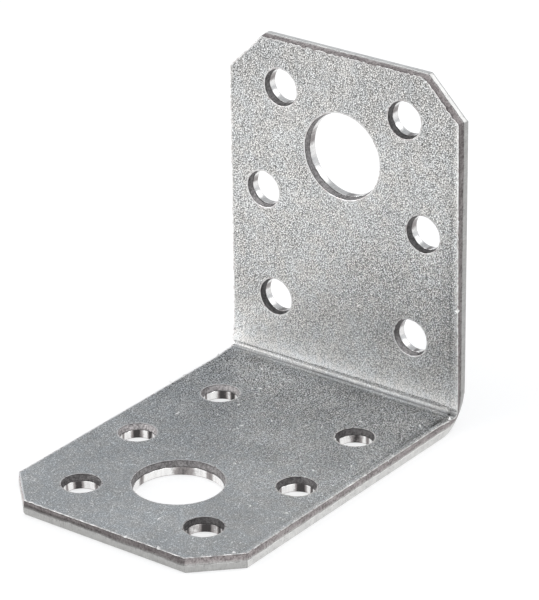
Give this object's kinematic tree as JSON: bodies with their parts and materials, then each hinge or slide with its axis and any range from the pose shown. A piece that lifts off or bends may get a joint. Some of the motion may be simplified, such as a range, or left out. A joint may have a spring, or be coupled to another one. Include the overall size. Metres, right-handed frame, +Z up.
{
  "type": "angle bracket",
  "caption": "Right-angle bracket folded from zinc-coated sheet steel, with cropped corners, small screw holes and a large bolt hole in each leg.",
  "frame": {"origin": "middle of the footprint, on the underside of the base leg", "axes": "+X across the strip, -Y along the base leg from the fold to its free end, +Z up the upright leg"},
  "size_m": [0.0354, 0.0506, 0.0465],
  "materials": {
    "zinc_coated_steel": "zinc coating with a fine frosted grain; bare sheared edges, torn on the inner side and burnished on the outer side"
  },
  "bodies": {
    "root": {"angle_bracket": "zinc_coated_steel"}
  },
  "joints": []
}
